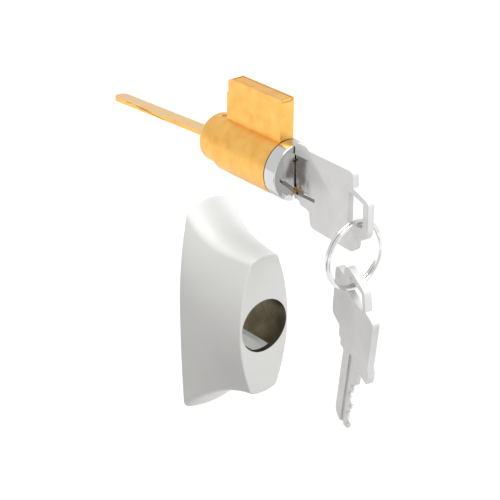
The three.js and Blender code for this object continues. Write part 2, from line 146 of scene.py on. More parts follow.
# Tailpiece
TAIL_WIDTH = 4.3
TAIL_THICKNESS = 1.3
TAIL_LENGTH = 49
TAIL_DROOP = 2.7
TAIL_SCORES = 7
TAIL_SCORE_PITCH = 4.6
TAIL_PIN_RADIUS = 0.8
TAIL_PIN_Y = CAP_FRONT + 3.2
TAIL_PIN_HOLE_GAP = 0.1
TAIL_PIN_SLACK = 0.35
TAIL_FRONT = CAP_FRONT + 1.7
TAIL_REAR = CAP_REAR - 1 + TAIL_LENGTH
FIRST_SCORE = 7.5
SCORE_HALF_WIDTH = 0.2
SCORE_DEPTH = 0.16
# The cap's slot for the tailpiece, which droops in it
TAIL_SLOT_SETBACK = 1.2
TAIL_SLOT_SIDE_ROOM = 0.4
TAIL_SLOT_ROOM_BELOW = 0.75
TAIL_SLOT_ROOM_ABOVE = 0.55

# Keys
KEY_THICKNESS = 2
BLADE_LENGTH = 26.2
BLADE_TOP = 3.5
BLADE_BOTTOM = -5
# The height left at each cut, from the shoulder to the tip
CUT_HEIGHTS = [1.5, 0.4, 1.9, 0.9, 1.6]
CUT_HALF_FLAT = 0.85
CUT_SLOPE = 2
KEYWAY_WIDTH = 2.4
KEYWAY_ROOM_BELOW = 0.3
KEYWAY_ROOM_ABOVE = 0.4
KEYWAY_END = SHELL_REAR + 2.5
# A slot through the bow for the ring, as (y, z)
KEY_SLOT = [(-21.1, -6.4), (-26.7, -6.4), (-26.7, 0.4), (-21.1, 2.4)]
# The milled side: its depth, its lower and upper edges, and where it starts, meets the flat of the key
# and reaches its full depth
RECESS_DEPTH = 0.5
RECESS_EDGES = (-4.6, 5.6)
RECESS_RUN_OUT = (-7.2, -5.9, -5.1)
# Two grooves along the blade as (depth, start, lower edge, upper edge), the far one on the other side
GROOVE = (0.75, -8.4, -5.6, -4.5)
FAR_GROOVE = (0.5, -2, -1.6, 0.2)
# The ward along the keyway, which fills the key's milled side
WARD_INNER_X = -0.68
WARD_ROOT = 0.1
WARD_SETBACK = 0.12
WARD_END = 1
WARD_ABOVE_BLADE_BOTTOM = 0.7
WARD_BELOW_BLADE_TOP = 0.3
# The point of the spare key that hangs on the ring, and the key's turns in degrees
SPARE_KEY_HANG = Vector((0, -25.2, -4.4))
SPARE_KEY_TURN = [-108, 5, 164]

# Split ring
RING_RADIUS = 9.15
RING_WIRE_RADIAL = 1.03
RING_WIRE_AXIAL = 0.93
RING_TURN_GAP = 0.19
RING_FREE_ANGLE = 28
RING_STEPS = 360
RING_WIRE_SIDES = 20
RING_TIP_RATE = 0.12
RING_TIP_LEAST = 0.3

# Meshes
PAST = 1  # how far a cutting piece runs past what it cuts
FINE_SIDES = 128
BAR_SIDES = 64
SMALL_BAR_SIDES = 48
TAIL_END_STEPS = 32
OUTER_STEPS = 40
INNER_STEPS = 30
SIDE_STEPS = 28
CORNER_STEPS = 10
END_STEPS = 8
RING_CROWDING = 1.4  # above 1 crowds the housing's rings towards the rear, where its flare turns fastest
MERGE_DISTANCE = 0.002
FLAT_ANGLE = 0.3

# ---------------------------------------------------------------- places, from the CAD model

plug_low, plug_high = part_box("plug")
ring_low, ring_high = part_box("split_ring")
joints = {joint["name"]: joint for joint in frame["joints"]}
to_metres = Matrix.Scale(MM, 4)
cylinder_face = Vector(((plug_low.x + plug_high.x) / 2, plug_low.y, plug_high.z - CYLINDER_RADIUS * MM))
housing_place = to_metres
cylinder_place = Matrix.Translation(cylinder_face) @ to_metres
ring_place = Matrix.Translation((ring_low + ring_high) / 2) @ to_metres
spare_turn = Euler([math.radians(angle) for angle in SPARE_KEY_TURN], "XYZ").to_matrix().to_4x4()
spare_hook = Vector(joints["spare_key_swing"]["pos_m"])
spare_place = (
    Matrix.Translation(spare_hook) @ to_metres @ spare_turn @ Matrix.Translation(-SPARE_KEY_HANG)
)

# ---------------------------------------------------------------- camera, light and floor

# Angles in degrees and lengths in metres, but the sensor and the lens in millimetres
CAMERA_AZIMUTH = -39.53
CAMERA_ELEVATION = 26.09
CAMERA_ROLL = 0.25
CAMERA_DISTANCE = 0.4593
CAMERA_TARGET = Vector((0.0028, -0.0147, 0.0192))
CAMERA_SENSOR = 36
CAMERA_LENS = 116.8
WORLD_STRENGTH = 0.86
SUN_SPREAD = 40
FLOOR_REACH = 4
FLOOR_DROP = 0.12
LOW_CARD_DROP = 0.119
LEFT_CARD_X = -0.08
RIGHT_CARD_X = 0.09
# The corners of a side card as (y, z), and of the low card as (x, y)
SIDE_CARD = ((-0.3, -0.085), (-0.3, 0.008), (0.3, 0.008), (0.3, -0.085))
LOW_CARD = ((-0.42, -0.55), (-0.12, -0.55), (-0.12, -0.22), (-0.42, -0.22))


def make_camera():
    azimuth = math.radians(CAMERA_AZIMUTH)
    elevation = math.radians(CAMERA_ELEVATION)
    roll = math.radians(CAMERA_ROLL)
    back = Vector(
        (
            math.sin(azimuth) * math.cos(elevation),
            -math.cos(azimuth) * math.cos(elevation),
            math.sin(elevation),
        )
    )
    data = bpy.data.cameras.new("camera")
    data.sensor_width = CAMERA_SENSOR
    data.lens = CAMERA_LENS
    camera = bpy.data.objects.new("camera", data)
    bpy.context.scene.collection.objects.link(camera)
    level = (-back).to_track_quat("-Z", "Y")
    camera.rotation_mode = "QUATERNION"
    camera.rotation_quaternion = level @ Matrix.Rotation(roll, 3, "Z").to_quaternion()
    camera.location = CAMERA_TARGET + back * CAMERA_DISTANCE
    bpy.context.scene.camera = camera


def area_light(name, place, aim, size, power, spread):
    """A lamp that neither the camera nor a reflection shows."""
    data = bpy.data.lights.new(name, "AREA")
    data.shape = "RECTANGLE"
    data.size, data.size_y = size
    data.energy = power
    data.spread = math.radians(spread)
    lamp = bpy.data.objects.new(name, data)
    bpy.context.scene.collection.objects.link(lamp)
    lamp.location = place
    lamp.rotation_mode = "QUATERNION"
    lamp.rotation_quaternion = (Vector(aim) - Vector(place)).to_track_quat("-Z", "Y")
    lamp.visible_camera = False
    lamp.visible_glossy = False


def soft_sun(name, toward, strength, spread, reflected=True):
    data = bpy.data.lights.new(name, "SUN")
    data.energy = strength
    data.angle = math.radians(spread)
    lamp = bpy.data.objects.new(name, data)
    bpy.context.scene.collection.objects.link(lamp)
    lamp.visible_glossy = reflected
    lamp.rotation_mode = "QUATERNION"
    lamp.rotation_quaternion = (-Vector(toward)).to_track_quat("-Z", "Y")


def make_light():
    world = bpy.data.worlds.new("studio")
    world.use_nodes = True
    background = world.node_tree.nodes["Background"]
    background.inputs["Color"].default_value = (1, 1, 1, 1)
    background.inputs["Strength"].default_value = WORLD_STRENGTH
    bpy.context.scene.world = world
    soft_sun("key_light", (0, -0.35, 0.9), 2.4, SUN_SPREAD)
    soft_sun("top_light", (-0.02, -0.24, 0.95), 3, SUN_SPREAD, reflected=False)
    area_light("back_light", (0.03, 0.2, -0.02), (0, 0, -0.005), (0.16, 0.12), 0.08, 36)
    bpy.context.scene.view_settings.view_transform = "Standard"


def make_floor():
    bm = bmesh.new()
    bmesh.ops.create_grid(bm, x_segments=2, y_segments=2, size=FLOOR_REACH)
    floor = new_object("floor", bm)
    floor.location.z = cad_low.z - FLOOR_DROP
    floor.data.materials.append(looks["floor"])


def card(name, corners, shades=False):
    """A dark card beside the set, which the camera doesn't see. It either shades what is matt or shows
    in reflections."""
    bm = bmesh.new()
    bm.faces.new([bm.verts.new(corner) for corner in corners])
    piece = new_object(name, bm)
    piece.data.materials.append(looks["card"])
    piece.visible_camera = False
    piece.visible_shadow = False
    piece.visible_diffuse = shades
    piece.visible_glossy = not shades


def make_cards():
    low_z = cad_low.z - LOW_CARD_DROP
    card("left_card", [(LEFT_CARD_X, y, z) for y, z in SIDE_CARD], shades=True)
    card("right_card", [(RIGHT_CARD_X, y, z) for y, z in SIDE_CARD], shades=True)
    card("low_card", [(x, y, low_z) for x, y in LOW_CARD])


# ---------------------------------------------------------------- materials


class Look:
    """A node material being built: a Principled shader and a few procedural textures."""

    def __init__(self, name, **inputs):
        self.material = bpy.data.materials.new(name)
        self.material.use_nodes = True
        self.nodes = self.material.node_tree.nodes
        self.links = self.material.node_tree.links
        self.shader = self.nodes["Principled BSDF"]
        for socket, value in inputs.items():
            self.shader.inputs[socket.replace("_", " ").title()].default_value = value

    def point(self, stretch):
        coordinates = self.nodes.new("ShaderNodeTexCoord")
        mapping = self.nodes.new("ShaderNodeMapping")
        mapping.inputs["Scale"].default_value = stretch
        self.links.new(coordinates.outputs["Object"], mapping.inputs["Vector"])
        return mapping.outputs["Vector"]

    def noise(self, scale, detail=4, stretch=(1, 1, 1)):
        texture = self.nodes.new("ShaderNodeTexNoise")
        texture.inputs["Scale"].default_value = scale
        texture.inputs["Detail"].default_value = detail
        self.links.new(self.point(stretch), texture.inputs["Vector"])
        return texture.outputs["Fac"]

    def bands(self, scale, direction, distortion=0):
        texture = self.nodes.new("ShaderNodeTexWave")
        texture.bands_direction = direction
        texture.inputs["Scale"].default_value = scale
        texture.inputs["Distortion"].default_value = distortion
        self.links.new(self.point((1, 1, 1)), texture.inputs["Vector"])
        return texture.outputs["Fac"]

    def mixed(self, first, second, share):
        mix = self.nodes.new("ShaderNodeMix")
        mix.inputs["Factor"].default_value = share
        self.links.new(first, mix.inputs["A"])
        self.links.new(second, mix.inputs["B"])
        return mix.outputs["Result"]

    def colour(self, value, stops):
        ramp = self.nodes.new("ShaderNodeValToRGB")
        elements = ramp.color_ramp.elements
        while len(elements) < len(stops):
            elements.new(0.5)
        for element, (place, shade) in zip(elements, stops):
            element.position = place
            element.color = (*shade, 1)
        self.links.new(value, ramp.inputs["Fac"])
        self.links.new(ramp.outputs["Color"], self.shader.inputs["Base Color"])

    def roughness(self, value, low, high):
        spread = self.nodes.new("ShaderNodeMapRange")
        spread.inputs["To Min"].default_value = low
        spread.inputs["To Max"].default_value = high
        self.links.new(value, spread.inputs["Value"])
        self.links.new(spread.outputs["Result"], self.shader.inputs["Roughness"])

    def bump(self, value, height, strength):
        bump = self.nodes.new("ShaderNodeBump")
        bump.inputs["Distance"].default_value = height
        bump.inputs["Strength"].default_value = strength
        self.links.new(value, bump.inputs["Height"])
        self.links.new(bump.outputs["Normal"], self.shader.inputs["Normal"])


def paint():
    look = Look("satin_paint", coat_weight=0.1, coat_roughness=0.3)
    look.colour(look.noise(45, 3), [(0.3, (0.57, 0.57, 0.556)), (0.7, (0.605, 0.605, 0.589))])
    look.roughness(look.noise(300), 0.38, 0.5)
    look.bump(look.noise(1500, 2), 0.00002, 0.35)
    return look.material


def bore_metal():
    look = Look("turned_bore", metallic=1)
    rings = look.bands(560, "Y", 3)
    blotches = look.noise(210, 6)
    look.colour(
        look.mixed(rings, blotches, 0.72),
        [(0.25, (0.06, 0.05, 0.028)), (0.5, (0.125, 0.102, 0.06)), (0.8, (0.27, 0.235, 0.155))],
    )
    look.roughness(blotches, 0.3, 0.5)
    look.bump(rings, 0.00001, 0.4)
    return look.material


def brass():
    look = Look("gilded_brass", metallic=1)
    look.colour(
        look.noise(310, 7),
        [(0.3, (0.87, 0.46, 0.105)), (0.5, (0.93, 0.52, 0.13)), (0.72, (0.96, 0.57, 0.17))],
    )
    look.roughness(look.noise(420, 5), 0.3, 0.46)
    look.bump(look.noise(900, 5, (1, 0.35, 1)), 0.000025, 0.4)
    return look.material


def blade():
    look = Look("pale_brass", metallic=1)
    look.colour(
        look.noise(170, 4),
        [
            (0.3, (0.95, 0.56, 0.36)),
            (0.45, (0.92, 0.63, 0.3)),
            (0.58, (0.86, 0.66, 0.34)),
            (0.72, (0.72, 0.68, 0.4)),
        ],
    )
    look.roughness(look.noise(500, 5), 0.28, 0.42)
    look.bump(look.noise(1200, 5, (1, 0.2, 1)), 0.000015, 0.4)
    return look.material


def chrome():
    look = Look("chrome", metallic=1)
    look.colour(look.noise(200, 3), [(0.2, (0.61, 0.61, 0.615)), (0.8, (0.67, 0.67, 0.675))])
    look.roughness(look.noise(500, 6), 0.03, 0.1)
    look.bump(look.noise(260, 2), 0.00001, 0.25)
    return look.material


def pin_brass():
    look = Look("pin_brass", metallic=1)
    look.colour(look.noise(600, 4), [(0.3, (0.62, 0.42, 0.13)), (0.7, (0.76, 0.54, 0.2))])
    look.roughness(look.noise(900, 4), 0.22, 0.4)
    look.bump(look.bands(900, "Z"), 0.00001, 0.4)
    return look.material


def steel():
    look = Look("bright_steel", metallic=1)
    look.colour(look.noise(700, 4), [(0.3, (0.42, 0.43, 0.44)), (0.7, (0.58, 0.585, 0.59))])
    look.roughness(look.noise(1100, 4), 0.2, 0.4)
    look.bump(look.noise(1500, 3), 0.00001, 0.4)
    return look.material


def nickel():
    look = Look("satin_nickel", metallic=0.6)
    look.colour(look.noise(120, 5), [(0.3, (0.6, 0.595, 0.587)), (0.7, (0.68, 0.675, 0.665))])
    look.roughness(look.noise(700, 6, (1, 1, 0.15)), 0.46, 0.6)
    look.bump(look.noise(1400, 6, (1, 1, 0.1)), 0.000012, 0.4)
    return look.material


# Glossier metal for the key's milled faces. Its colour is darker than the key's to paint in the shade of
# the milled recess.
def nickel_with_painted_shade():
    look = Look("glossy_nickel_painted_shade", metallic=1)
    look.colour(look.noise(500, 4), [(0.3, (0.5, 0.49, 0.475)), (0.7, (0.6, 0.59, 0.575))])
    look.roughness(look.noise(900, 5, (1, 0.15, 1)), 0.07, 0.16)
    look.bump(look.noise(1300, 5, (1, 0.1, 1)), 0.000008, 0.4)
    return look.material


def wire():
    look = Look("bright_wire", metallic=1)
    look.colour(look.noise(400, 3), [(0.3, (0.7, 0.69, 0.685)), (0.7, (0.8, 0.795, 0.79))])
    look.roughness(look.noise(900, 4), 0.08, 0.18)
    look.bump(look.noise(700, 3), 0.00001, 0.3)
    return look.material


def floor_look():
    look = Look("pale_floor", roughness=0.7)
    look.colour(look.noise(3, 2), [(0, (0.47, 0.47, 0.47)), (1, (0.49, 0.49, 0.49))])
    return look.material


def card_look():
    look = Look("dark_card", roughness=0.8)
    look.colour(look.noise(6, 3), [(0.2, (0.13, 0.12, 0.11)), (0.8, (0.18, 0.165, 0.155))])
    return look.material


# ---------------------------------------------------------------- shapes


def new_object(name, bm):
    mesh = bpy.data.meshes.new(name)
    bm.to_mesh(mesh)
    bm.free()
    piece = bpy.data.objects.new(name, mesh)
    bpy.context.scene.collection.objects.link(piece)
    return piece


def rings_to_object(name, rings):
    """A closed solid through rings of equal point counts, with a flat face at each end."""
    bm = bmesh.new()
    made = [[bm.verts.new(point) for point in ring] for ring in rings]
    count = len(made[0])
    for near, far in zip(made, made[1:]):
        for i in range(count):
            j = (i + 1) % count
            bm.faces.new((near[i], far[i], far[j], near[j]))
    bm.faces.new(made[0])
    bm.faces.new(reversed(made[-1]))
    bmesh.ops.recalc_face_normals(bm, faces=bm.faces)
    return new_object(name, bm)


def turned(name, profile, sides=FINE_SIDES):
    """A round piece about the Y axis, from a profile of (radius, depth)."""
    angles = [2 * math.pi * i / sides for i in range(sides)]
    return rings_to_object(
        name,
        [[(r * math.cos(a), depth, r * math.sin(a)) for a in angles] for r, depth in profile],
    )


def bar_y(radius, start, end, x=0, z=0, sides=BAR_SIDES):
    """A round bar along Y."""
    bar = turned("bar", [(radius, start), (radius, end)], sides)
    bar.data.transform(Matrix.Translation((x, 0, z)))
    return bar


def bar_z(radius, start, end, y):
    """A round bar along Z."""
    bar = turned("bar", [(radius, start), (radius, end)], SMALL_BAR_SIDES)
    bar.data.transform(Matrix.Translation((0, y, 0)) @ Matrix.Rotation(math.pi / 2, 4, "X"))
    return bar


def block(low, high):
    bm = bmesh.new()
    bmesh.ops.create_cube(bm, size=1)
    for vert in bm.verts:
        vert.co = [low[i] + (high[i] - low[i]) * (vert.co[i] + 0.5) for i in range(3)]
    return new_object("block", bm)


def plate(name, outline, start, end):
    """A plate in the YZ plane from an outline of (y, z), extruded along X."""
    return rings_to_object(name, [[(x, y, z) for y, z in outline] for x in (start, end)])


def curve(start, bend, end, steps=8):
    """Points after the start, along a quadratic curve to the end."""
    points = []
    for i in range(1, steps + 1):
        t = i / steps
        points.append(
            tuple(
                (1 - t) ** 2 * start[k] + 2 * t * (1 - t) * bend[k] + t**2 * end[k]
                for k in range(len(start))
            )
        )
    return points


def combine(target, operation, *tools):
    """Joins, cuts or trims the target with each tool in turn, and drops the tools."""
    for tool in tools:
        modifier = target.modifiers.new("combine", "BOOLEAN")
        modifier.operation = operation
        modifier.solver = "EXACT"
        modifier.object = tool
        bpy.context.view_layer.update()
        result = target.evaluated_get(bpy.context.evaluated_depsgraph_get())
        mesh = bpy.data.meshes.new_from_object(result)
        target.modifiers.clear()
        target.data = mesh
        bpy.data.objects.remove(tool)


def cut(target, *tools):
    combine(target, "DIFFERENCE", *tools)


def join(target, *tools):
    combine(target, "UNION", *tools)


def clean(piece):
    """Merges doubled points and flat neighbours that cuts leave behind."""
    bm = bmesh.new()
    bm.from_mesh(piece.data)
    bmesh.ops.remove_doubles(bm, verts=bm.verts, dist=MERGE_DISTANCE)
    bmesh.ops.dissolve_limit(
        bm,
        angle_limit=math.radians(FLAT_ANGLE),
        verts=bm.verts,
        edges=bm.edges,
        delimit={"MATERIAL"},
    )
    bm.to_mesh(piece.data)
    bm.free()


def dress(piece, place, body, nodes, materials, edge=0.12, choose=None, angle=40):
    """Softens a piece's edges, gives it its materials, puts it in place and hangs it on its body.
    choose(centre, normal) gives the number of a face's material."""
    clean(piece)
    for material in materials:
        piece.data.materials.append(material)
    if choose:
        for polygon in piece.data.polygons:
            polygon.material_index = choose(polygon.center, polygon.normal)
    piece.data.shade_smooth()
    piece.data.set_sharp_from_angle(angle=math.radians(angle))
    piece.data.transform(place)
    piece.data.update()
    if edge:
        bevel = piece.modifiers.new("soft_edges", "BEVEL")
        bevel.width = edge * MM
        bevel.segments = 3
        bevel.limit_method = "ANGLE"
        bevel.angle_limit = math.radians(angle)
        bevel.harden_normals = True
        bevel.miter_outer = "MITER_ARC"
    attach(piece, body)
    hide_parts(*nodes)


# ---------------------------------------------------------------- housing


def lerp(a, b, share):
    return a + (b - a) * share


def housing_quarter(share, inset, flare):
    """From the side at the bore's height round to the middle of the end: a bulging side, a rounded
    corner and a crowned end. share is 0 at the rear and 1 at the face."""
    rear, face = flare["rear"], flare["face"]
    height = lerp(rear[0], face[0], 1 - (1 - share) ** flare["sweep"]) - inset
    end = lerp(rear[1], face[1], share) - inset
    crown = lerp(rear[2], face[2], share)
    middle = lerp(REAR_HALF_WIDTH, FACE_HALF_WIDTH, share) - inset
    corner = lerp(REAR_CORNER, FACE_CORNER, share)

    def side(z):
        return middle - (middle - end) * (z / height) ** 2

    def top(x):
        return height + crown * (1 - (x / end) ** 2)

    heights = [(height - corner) * i / SIDE_STEPS for i in range(SIDE_STEPS + 1)]
    quarter = [(side(z), z) for z in heights]
    inner = end - corner
    quarter += curve(quarter[-1], (end, height), (inner, top(inner)), CORNER_STEPS)
    widths = [inner * (1 - i / END_STEPS) for i in range(1, END_STEPS + 1)]
    quarter += [(x, top(x)) for x in widths]
    return quarter


def housing_ring(depth, inset):
    """The housing's whole outline at one depth."""
    share = min(1, max(0, -depth / HOUSING_DEPTH))
    upper = housing_quarter(share, inset, UPPER)
    lower = housing_quarter(share, inset, LOWER)
    outline = [
        *upper,
        *[(-x, z) for x, z in reversed(upper[:-1])],
        *[(-x, -z) for x, z in lower[1:]],
        *[(x, -z) for x, z in reversed(lower[1:-1])],
    ]
    return [(x, depth, z) for x, z in outline]


def housing_block(name, front, rear, inset, steps, front_edge=0, rear_edge=0):
    """The housing's form between two depths, with rounded edges where it ends."""
    rings = []
    for i in range(steps + 1):
        share = 1 - (1 - i / steps) ** RING_CROWDING
        depth = lerp(front + front_edge, rear - rear_edge, share)
        rings.append(housing_ring(depth, inset))
    rounds = [math.radians(a) for a in (22.5, 45, 67.5, 90)]
    for a in rounds if front_edge else []:
        depth = front + front_edge * (1 - math.sin(a))
        rings.insert(0, housing_ring(depth, inset + front_edge * (1 - math.cos(a))))
    for a in rounds if rear_edge else []:
        depth = rear - rear_edge * (1 - math.sin(a))
        rings.append(housing_ring(depth, inset + rear_edge * (1 - math.cos(a))))
    return rings_to_object(name, rings)


def stay_inside(piece):
    """Trims a piece to just under the housing's outer surface."""
    within = housing_block("within", -HOUSING_DEPTH, 0, TRIM_INSET, INNER_STEPS)
    combine(piece, "INTERSECT", within)


def make_housing():
    face = -HOUSING_DEPTH
    tube_end = face + BORE_TUBE_LENGTH
    body = housing_block(
        "painted_housing", face, 0, 0, OUTER_STEPS, FACE_EDGE_RADIUS, RIM_EDGE_RADIUS
    )
    cut(body, housing_block("hollow", face + HOUSING_WALL, HOLLOW_PAST, HOUSING_WALL, INNER_STEPS))
    tube = bar_y(BORE_RADIUS + BORE_TUBE_WALL, face + TUBE_START, tube_end, sides=FINE_SIDES)
    stay_inside(tube)
    join(body, tube)
    for way in (-1, 1):
        post = bar_y(POST_RADIUS, face + POST_START, -POST_SETBACK, z=way * POST_HEIGHT)
        stay_inside(post)
        join(body, post)
    slot = block(
        (-TOWER_SLOT_WIDTH / 2, face + TOWER_SLOT_SETBACK, -TOWER_TOP - TOWER_SLOT_ROOM),
        (TOWER_SLOT_WIDTH / 2, tube_end + PAST, 0),
    )
    holes = [
        bar_y(POST_HOLE_RADIUS, -POST_SETBACK - POST_HOLE_DEPTH, PAST, z=way * POST_HEIGHT)
        for way in (-1, 1)
    ]
    cut(body, bar_y(BORE_RADIUS, face - PAST, PAST, sides=FINE_SIDES), slot, *holes)

    def bare_metal(centre, normal):
        """The bore's own wall is unpainted."""
        radius = math.hypot(centre.x, centre.z)
        inward = normal.x * centre.x + normal.z * centre.z < 0
        return 1 if radius < BORE_RADIUS + 0.1 and inward and abs(normal.y) < 0.5 else 0

    dress(
        body,
        housing_place,
        "lock_body",
        ["housing"],
        [looks["paint"], looks["bore_metal"]],
        edge=0.1,
        choose=bare_metal,
        angle=50,
    )


# ---------------------------------------------------------------- cylinder

CHAMBER_DEPTHS = [FIRST_CHAMBER + i * CHAMBER_PITCH for i in range(CHAMBERS)]


def make_shell():
    shell = turned(
        "gilded_shell",
        [
            (CYLINDER_RADIUS, SHELL_FRONT),
            (CYLINDER_RADIUS, SHELL_REAR - SHELL_CHAMFER),
            (CYLINDER_RADIUS - SHELL_CHAMFER, SHELL_REAR),
        ],
    )
    back = SHELL_REAR - TOWER_SETBACK
    step = TOWER_TOP - TOWER_STEP
    side = [(SHELL_FRONT, TOWER_FOOT), (SHELL_REAR, TOWER_FOOT), (SHELL_REAR, step), (back, step)]
    side.append((back, TOWER_TOP - TOWER_CORNER))
    side += curve(side[-1], (back, TOWER_TOP), (back - TOWER_CORNER, TOWER_TOP))
    side.append((SHELL_FRONT, TOWER_TOP))
    join(shell, plate("tower", side, -TOWER_HALF_WIDTH, TOWER_HALF_WIDTH))
    seat = block(
        (
            -COVER_HALF_WIDTH - COVER_SIDE_GAP,
            SHELL_FRONT - PAST,
            TOWER_TOP - COVER_THICKNESS - COVER_UNDER_GAP,
        ),
        (COVER_HALF_WIDTH + COVER_SIDE_GAP, SHELL_REAR - COVER_SEAT_END, TOWER_TOP + PAST),
    )
    chambers = [bar_z(CHAMBER_RADIUS, TOWER_FOOT, TOWER_TOP + PAST, y) for y in CHAMBER_DEPTHS]
    bore = bar_y(PLUG_BORE_RADIUS, SHELL_FRONT - PAST, SHELL_REAR + PAST, sides=FINE_SIDES)
    cut(shell, bore, seat, *chambers)
    dress(
        shell,
        cylinder_place,
        "lock_body",
        ["cylinder_shell"],
        [looks["brass"]],
        edge=0.15,
    )


def make_cover():
    cover = block(
        (-COVER_HALF_WIDTH, SHELL_FRONT + COVER_SINK, TOWER_TOP - COVER_THICKNESS),
        (COVER_HALF_WIDTH, SHELL_REAR - COVER_END, TOWER_TOP - COVER_SINK),
    )
    cover.name = "chamber_strip"
    dress(
        cover,
        cylinder_place,
        "lock_body",
        ["chamber_cover"],
        [looks["brass"]],
        edge=0.06,
    )


def make_plug():
    body = turned(
        "chromed_plug",
        [
            *[(CYLINDER_RADIUS - inset, depth) for inset, depth in HEAD_RIM],
            (CYLINDER_RADIUS, HEAD_LENGTH),
            (PLUG_RADIUS, HEAD_LENGTH),
            (PLUG_RADIUS, SHELL_REAR),
        ],
    )
    half = KEYWAY_WIDTH / 2
    keyway = block(
        (-half, -PAST, BLADE_BOTTOM - KEYWAY_ROOM_BELOW),
        (half, KEYWAY_END, BLADE_TOP + KEYWAY_ROOM_ABOVE),
    )
    head_slot = block(
        (-half, -PAST, -CYLINDER_RADIUS - PAST),
        (half, HEAD_LENGTH - HEAD_SLOT_FLOOR, 0),
    )
    chambers = [bar_z(CHAMBER_RADIUS, CHAMBER_FLOOR, PLUG_RADIUS + PAST, y) for y in CHAMBER_DEPTHS]
    hole_start = SHELL_REAR - PLUG_SCREW_HOLE_DEPTH
    holes = [
        bar_y(PLUG_SCREW_HOLE_RADIUS, hole_start, SHELL_REAR + PAST, way * CAP_SCREW_X)
        for way in (-1, 1)
    ]
    cut(body, keyway, head_slot)
    ward = block(
        (-half - WARD_ROOT, WARD_SETBACK, BLADE_BOTTOM + WARD_ABOVE_BLADE_BOTTOM),
        (WARD_INNER_X, SHELL_REAR - WARD_END, BLADE_TOP - WARD_BELOW_BLADE_TOP),
    )
    join(body, ward)
    cut(body, *chambers, *holes)

    def plated(centre, normal):
        return 0 if centre.y < HEAD_LENGTH + 0.01 else 1

    dress(
        body,
        cylinder_place,
        "turning_plug",
        ["plug"],
        [looks["chrome"], looks["pin_brass"]],
        edge=0.1,
        choose=plated,
    )


def make_cap():
    body = turned(
        "gilded_rear_cap",
        [
            (CAP_RADIUS - CAP_FRONT_CHAMFER, CAP_FRONT),
            (CAP_RADIUS, CAP_FRONT + CAP_FRONT_CHAMFER),
            *[(CAP_RADIUS - inset, CAP_REAR - depth) for inset, depth in CAP_RIM],
        ],
    )
    slot = block(
        (
            -TAIL_WIDTH / 2 - TAIL_SLOT_SIDE_ROOM,
            CAP_FRONT + TAIL_SLOT_SETBACK,
            -TAIL_THICKNESS / 2 - TAIL_SLOT_ROOM_BELOW,
        ),
        (
            TAIL_WIDTH / 2 + TAIL_SLOT_SIDE_ROOM,
            CAP_REAR + PAST,
            TAIL_THICKNESS / 2 + TAIL_SLOT_ROOM_ABOVE,
        ),
    )
    hole_radius = TAIL_PIN_RADIUS + TAIL_PIN_HOLE_GAP
    pin_hole = bar_z(hole_radius, -CAP_RADIUS - PAST, CAP_RADIUS + PAST, TAIL_PIN_Y)
    shanks = [
        bar_y(CAP_SCREW_HOLE_RADIUS, CAP_FRONT - PAST, CAP_REAR, way * CAP_SCREW_X)
        for way in (-1, 1)
    ]
    sink_start = CAP_REAR - CAP_SCREW_SINK_DEPTH
    sinks = [
        bar_y(CAP_SCREW_SINK_RADIUS, sink_start, CAP_REAR + PAST, way * CAP_SCREW_X)
        for way in (-1, 1)
    ]
    cut(body, slot, pin_hole, *shanks, *sinks)
    dress(
        body, cylinder_place, "turning_plug", ["rear_cap"], [looks["brass"]], edge=0.1
    )


def make_tailpiece():
    half = TAIL_WIDTH / 2
    outline = [(-half, TAIL_FRONT), (half, TAIL_FRONT)]
    for i in range(TAIL_END_STEPS + 1):
        angle = math.pi * i / TAIL_END_STEPS
        outline.append((half * math.cos(angle), TAIL_REAR - half + half * math.sin(angle)))
    levels = (-TAIL_THICKNESS / 2, TAIL_THICKNESS / 2)
    bar = rings_to_object("tail_bar", [[(x, y, z) for x, y in outline] for z in levels])
    scores = []
    for i in range(TAIL_SCORES):
        y = TAIL_REAR - FIRST_SCORE - i * TAIL_SCORE_PITCH
        for z in levels:
            score = block(
                (-half - PAST, y - SCORE_HALF_WIDTH, z - SCORE_DEPTH),
                (half + PAST, y + SCORE_HALF_WIDTH, z + SCORE_DEPTH),
            )
            scores.append(score)
    cut(bar, bar_z(TAIL_PIN_RADIUS + TAIL_PIN_SLACK, -3, 3, TAIL_PIN_Y), *scores)
    droop = (
        Matrix.Translation((0, TAIL_PIN_Y, 0))
        @ Matrix.Rotation(math.radians(-TAIL_DROOP), 4, "X")
        @ Matrix.Translation((0, -TAIL_PIN_Y, 0))
    )

    def edge_colour(centre, normal):
        return 0 if abs(normal.z) > 0.5 else 1

    dress(
        bar,
        cylinder_place @ droop,
        "loose_tailpiece",
        ["tailpiece"],
        [looks["blade"], looks["brass"]],
        edge=0.12,
        choose=edge_colour,
    )


# ---------------------------------------------------------------- keys


